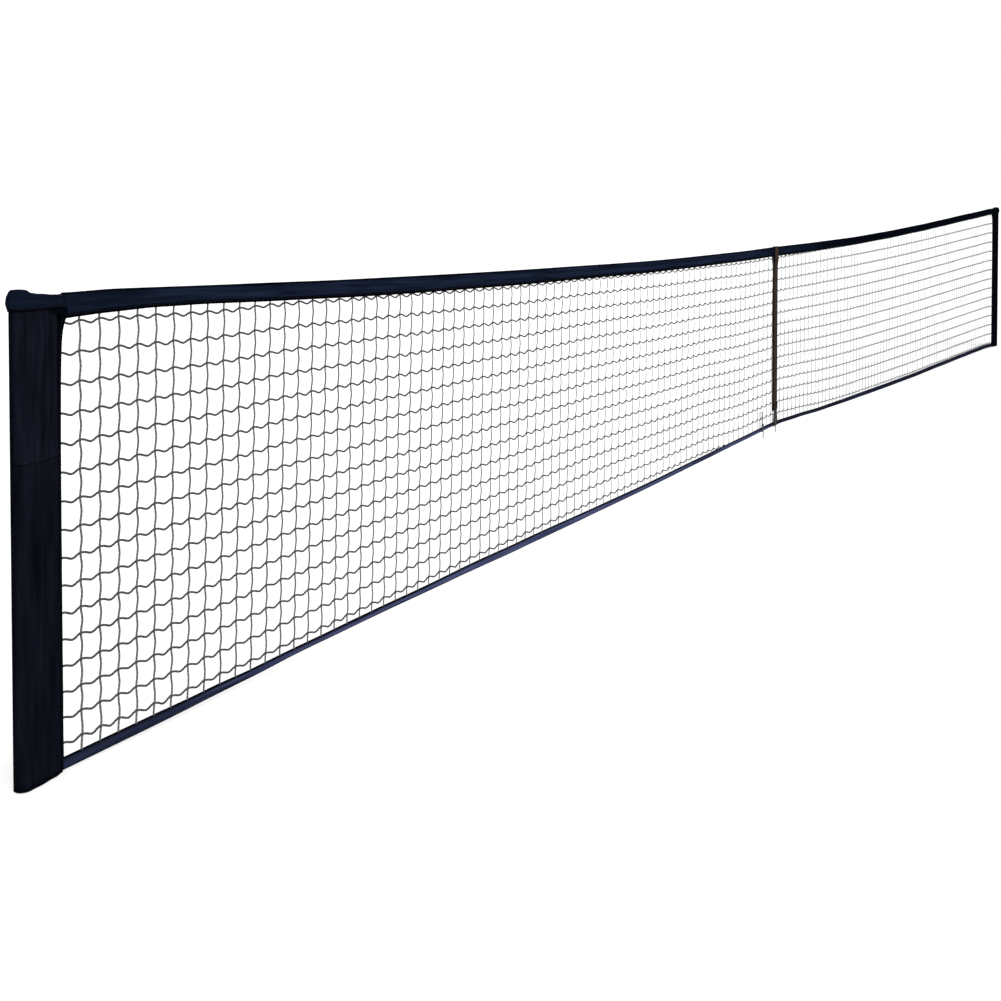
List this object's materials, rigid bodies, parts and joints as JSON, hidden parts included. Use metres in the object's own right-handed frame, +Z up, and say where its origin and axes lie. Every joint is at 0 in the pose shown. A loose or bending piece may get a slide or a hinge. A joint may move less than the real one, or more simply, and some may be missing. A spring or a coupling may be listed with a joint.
{
  "type": "portable court net",
  "caption": "Low portable court net: square netting in a sagging dark headband and peaked bottom tape, with pole sleeves at both ends and a centre strap.",
  "frame": {"origin": "centre of the mouth of the left pole's foot, at the net's lowest level", "axes": "+X along the net to the right pole, -Y the front, +Z up"},
  "size_m": [6.7124, 0.0404, 0.762],
  "materials": {
    "band_cloth": "smooth coated cloth",
    "sleeve_cloth": "matt woven cloth",
    "tape_cloth": "satin coated cloth",
    "net_twine": "twisted twine",
    "cord": "braided cord",
    "webbing": "flat woven webbing",
    "pole_paint": "satin powder coat",
    "cap_plastic": "moulded",
    "tie_plastic": "moulded nylon"
  },
  "bodies": {
    "left_pole": {"left_pole_tube": "pole_paint", "left_pole_cap": "cap_plastic", "left_pole_foot": "cap_plastic"},
    "net": {"left_sleeve": "sleeve_cloth", "left_side_binding": "band_cloth", "left_corner_patch": "band_cloth", "left_corner_pocket": "band_cloth", "right_sleeve": "sleeve_cloth", "right_side_binding": "band_cloth", "right_corner_patch": "band_cloth", "right_corner_pocket": "band_cloth", "netting": "net_twine", "headband": "band_cloth", "headband_cord": "cord", "bottom_tape": "tape_cloth", "bottom_cord": "cord", "centre_strap": "webbing", "strap_tie": "tie_plastic", "net_tie": "tie_plastic"},
    "right_pole": {"right_pole_tube": "pole_paint", "right_pole_cap": "cap_plastic", "right_pole_foot": "cap_plastic"}
  },
  "joints": [
    {"name": "net_lift", "type": "slide", "parent": "left_pole", "child": "net", "axis": [0, 0, 1], "range_m": [0, 0.78]},
    {"name": "right_pole_draw", "type": "slide", "parent": "net", "child": "right_pole", "axis": [0, 0, -1], "range_m": [0, 0.78]}
  ],
  "couplings": [
    {"joint": "right_pole_draw", "follows": "net_lift", "ratio": 1}
  ]
}
